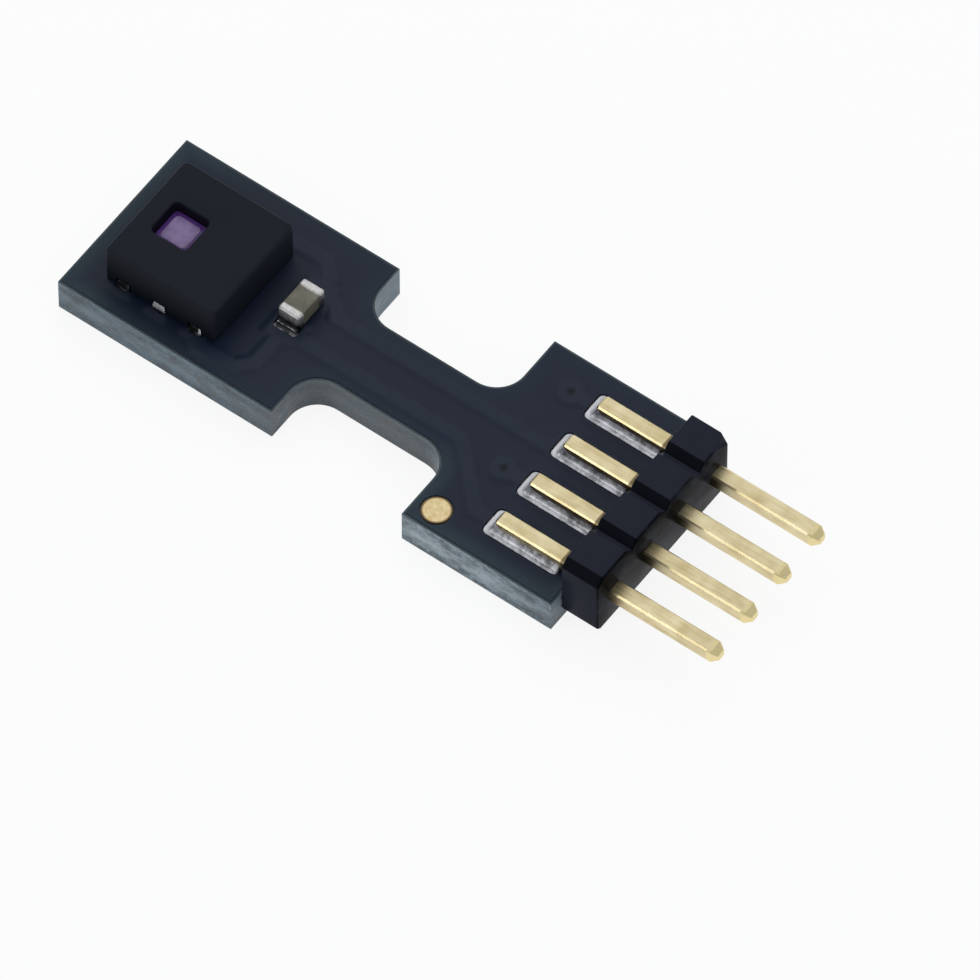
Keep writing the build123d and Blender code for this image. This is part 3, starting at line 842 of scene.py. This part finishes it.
# the foot of each cap is painted dark brown, as shade
painted_foot_shade = (tin_cap.z + dull * 0.15).rise(cap_foot + 0.46, cap_foot + 0.2)
tin_cap.feed(Base_Color=(painted_foot_shade * 0.85).tint(clean_cap, (0.12, 0.095, 0.065)))
tin_cap.feed(Roughness=0.36 + 0.22 * dull)
tin_cap.bump(dull, 0.4, 0.01)
for number in (1, 2):
    cap_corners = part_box(f"capacitor_terminal_{number}")
    cap = block(f"baked_cap_{number}", *cap_corners, 0.07, tin_cap, segments=5)
    seat(cap, "terminal", f"capacitor_terminal_{number}")

# The header
# Four square pins of drawn brass, gold plated, pressed through one black moulded strip with a
# break notch between its segments. The tails lie flat on their pads, the other ends plug in.

strip = Finish("header_plastic", Specular_IOR_Level=0.02)
flow = strip.grain(1.4, 3.0, 0.5)
fine = strip.grain(12.0, 3.0, 0.6, seed=6.0)
# the near-facing notch faces are painted near black, as shade
groove = strip.kept("groove")
black = (flow * 0.6 + fine * 0.4).tint((0.0245, 0.0285, 0.0420), (0.0400, 0.0450, 0.0650))
# The front face is painted darker in patches, as shade
painted_front_shade = strip.x.rise(foot_end + 0.92, foot_end + 0.99) * (1.0 - 0.9 * flow.rise(0.42, 0.62))
black = painted_front_shade.tint(black, (0.004, 0.005, 0.008))
strip.feed(Base_Color=(groove * 0.72).tint(black, (0.001, 0.001, 0.0015)))
strip.feed(Roughness=(0.13 + 0.24 * flow).most(groove * 0.8))
strip.bump(fine * 0.5 + flow * 0.5, 0.35, 0.02)

moulded = bmesh.new()
moulded.from_mesh(nodes["header_housing"].data)
weld = 1e-7
bmesh.ops.remove_doubles(moulded, verts=moulded.verts, dist=weld)
bmesh.ops.dissolve_limit(
    moulded, angle_limit=math.radians(1), verts=moulded.verts, edges=moulded.edges
)

# The far end broke off square, and the upper front corner there is chipped
strip_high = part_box("header_housing")[1]
strip_front, strip_top = strip_high[0], strip_high[2]
broken_end, far_end_from = 2.41 * mm, 2.2 * mm
for vertex in moulded.verts:
    if vertex.co.y > far_end_from:
        vertex.co.y = broken_end
chip_back, chip_along, chip_down = 0.19 * mm, 0.5 * mm, 0.31 * mm
behind = Vector((strip_front - chip_back, broken_end, strip_top))
beside = Vector((strip_front, broken_end - chip_along, strip_top))
below = Vector((strip_front, broken_end, strip_top - chip_down))
chip = bmesh.ops.bisect_plane(
    moulded, geom=moulded.verts[:] + moulded.edges[:] + moulded.faces[:], dist=weld,
    plane_co=behind, plane_no=(beside - behind).cross(below - behind).normalized(),
    clear_outer=True,
)
chip_edges = [cut for cut in chip["geom_cut"] if isinstance(cut, bmesh.types.BMEdge)]
bmesh.ops.contextual_create(moulded, geom=chip_edges)

# Its edges are a little round, except at the holes that the pins go through
strip_round, hole_half, sharp = 0.035, 0.22, math.radians(20)
pin_lines = [sum(grown_box(f"header_pin_{i}", 0.0)[1]) / 2 for i in range(1, 5)]
wire_low, wire_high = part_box("header_pin_1")
pin_height = (wire_low[2] + wire_high[2]) / 2 / mm
outer_edges = []
for edge in moulded.edges:
    middle = (edge.verts[0].co + edge.verts[1].co) / 2 / mm
    off_pins = min(max(abs(middle.y - y), abs(middle.z - pin_height)) for y in pin_lines)
    if off_pins > hole_half and len(edge.link_faces) == 2 and edge.calc_face_angle() > sharp:
        outer_edges.append(edge)
bmesh.ops.bevel(
    moulded, geom=outer_edges, offset=strip_round * mm, segments=3, profile=0.5,
    affect="EDGES", clamp_overlap=True,
)

# The near sides of the break notches and of the near top edge are rougher, and painted near black
# as shade
shaded_faces = moulded.faces.layers.float.new("groove")
for face in moulded.faces:
    face[shaded_faces] = 1.0 if face.normal.y < -0.35 and face.normal.z > 0.35 else 0.0
strip_mesh = bpy.data.meshes.new("moulded_strip")
moulded.to_mesh(strip_mesh)
moulded.free()
moulded_strip = loose_object("moulded_strip", strip_mesh)
strip.cover(moulded_strip)
seat(moulded_strip, "header_plastic", "header_housing")

# Painted shade browns the gold's flanks near the strip, least on the near pin, and the tails'
# roots; the tips get a painted highlight
gold_wire = Finish("gold_wire", Metallic=1.0)
drawn = gold_wire.grain(1.0, 4.0, 0.6, gold_wire.stretched(1.2, 14.0, 14.0))
patch = gold_wire.grain(2.2, 2.0, seed=7.0)
gold = (drawn * 0.5 + patch * 0.5).rise(0.3, 0.7).tint((0.60, 0.48, 0.25), (0.87, 0.77, 0.49))
pin_end, pin_top = wire_high[0] / mm, wire_high[2] / mm
flank = gold_wire.z.rise(pin_top - 0.03, pin_top - 0.06)
painted_flank_shade = flank * gold_wire.x.rise(foot_end + 1.9, foot_end + 1.0)
past_near_pin = gold_wire.y.rise(pin_lines[0] + 0.255, pin_lines[0] + 0.655)
painted_flank_shade = painted_flank_shade * (0.35 + 0.65 * past_near_pin)
painted_root_shade = gold_wire.x.rise(foot_end - 0.38, foot_end - 0.33)
painted_root_shade = painted_root_shade * gold_wire.x.rise(foot_end + 0.05, foot_end)
# A painted highlight makes the tips paler gold
tip = gold_wire.x.rise(pin_end - 0.30, pin_end - 0.22)
gold = (tip * 0.9).tint(gold, (1.0, 0.87, 0.50))
shadowed = (painted_flank_shade * 0.95).most(painted_root_shade * 0.8)
gold_wire.feed(Base_Color=shadowed.tint(gold, (0.055, 0.030, 0.008)))
gold_wire.feed(Roughness=0.22 + 0.2 * drawn + 0.28 * tip)
gold_wire.bump(drawn, 0.25, 0.008)
gold_wire.cover(*[o for name, o in nodes.items() if name.startswith("header_pin")])

# The table, the lamps and the camera
# A plain white table under soft lamps. To the camera the table is near white by its own colour,
# and it still takes the object's shadow. The camera stands where the photograph was taken.

# The table lies a hair below the board, whose underside it would otherwise flicker through
table_half, just_below = 3.0, -0.01 * mm
table_corners = [
    (x * table_half, y * table_half, just_below) for x, y in ((-1, -1), (1, -1), (1, 1), (-1, 1))
]
table_mesh = bpy.data.meshes.new("table")
table_mesh.from_pydata(table_corners, [], [(0, 1, 2, 3)])
table = loose_object("table", table_mesh)
paper = Finish("white_table", Base_Color=(0.86, 0.86, 0.86, 1.0), Roughness=0.9)
to_camera, to_gloss, to_glass = (
    paper.place.node("ShaderNodeLightPath", output=kind)
    for kind in ("Is Camera Ray", "Is Glossy Ray", "Is Transmission Ray")
)
white = paper.place.node(
    "ShaderNodeEmission", None, {"Color": (1.0, 1.0, 1.0, 1.0), "Strength": 1.1}
)
camera_share, mirror_share = 0.8, 0.74
own_light = (to_camera * camera_share).most(to_gloss.most(to_glass) * mirror_share)
lit_paper = Strand(paper.tree, paper.shader.outputs[0])
mixed = own_light.node("ShaderNodeMixShader", None, {0: own_light, 1: lit_paper, 2: white})
paper.tree.links.new(mixed.socket, paper.tree.nodes["Material Output"].inputs["Surface"])
paper.cover(table)

scene = bpy.context.scene
scene.world = bpy.data.worlds.new("studio")
scene.world.use_nodes = True
sky = scene.world.node_tree.nodes["Background"]
sky.inputs["Color"].default_value = (0.80, 0.85, 0.92, 1.0)
sky.inputs["Strength"].default_value = 0.28


def seen_from(azimuth, elevation):
    """The direction from the object to a place, by the place's azimuth and elevation in degrees."""
    a, e = math.radians(azimuth), math.radians(elevation)
    return Vector((math.sin(a) * math.cos(e), -math.cos(a) * math.cos(e), math.sin(e)))


def lamp(name, azimuth, elevation, distance, side, power):
    """A square soft lamp that looks at the object, its distance and side in metres."""
    light = bpy.data.lights.new(name, "AREA")
    light.size, light.energy = side, power
    holder = bpy.data.objects.new(name, light)
    towards = seen_from(azimuth, elevation)
    holder.location = towards * distance
    holder.rotation_euler = towards.to_track_quat("Z", "Y").to_euler()
    scene.collection.objects.link(holder)


# The key lights the tops, and the near lamp and its small bright spark the sides and chamfers
lamp("key", azimuth=216, elevation=58, distance=0.12, side=0.16, power=0.056)
lamp("fill", azimuth=100, elevation=40, distance=0.12, side=0.07, power=0.012)
lamp("spark", azimuth=-22, elevation=27, distance=0.12, side=0.010, power=0.007)
lamp("near", azimuth=-22, elevation=24, distance=0.16, side=0.10, power=0.016)

# The photograph shows a marked point of the foot to the right of its own middle and below it
azimuth, elevation, distance = 36.297, 56.098, 0.4
pixels_per_mm, photo_side, film_width = 45.138, 980, 36.0
marked, right_by, down_by = Vector((7.0, 0.05, 1.0)) * mm, 3.078 * mm, 0.569 * mm
back = seen_from(azimuth, elevation)
right = Vector((math.cos(math.radians(azimuth)), math.sin(math.radians(azimuth)), 0.0))
up = back.cross(right)
eye = bpy.data.objects.new("camera", bpy.data.cameras.new("camera"))
eye.data.sensor_width = film_width
eye.data.lens = film_width * pixels_per_mm * distance / mm / photo_side
eye.data.clip_start, eye.data.clip_end = 0.05, 10.0
eye.location = marked - right_by * right + down_by * up + distance * back
eye.rotation_euler = (-back).to_track_quat("-Z", "Y").to_euler()
scene.collection.objects.link(eye)
scene.camera = eye
scene.view_settings.view_transform = "Standard"
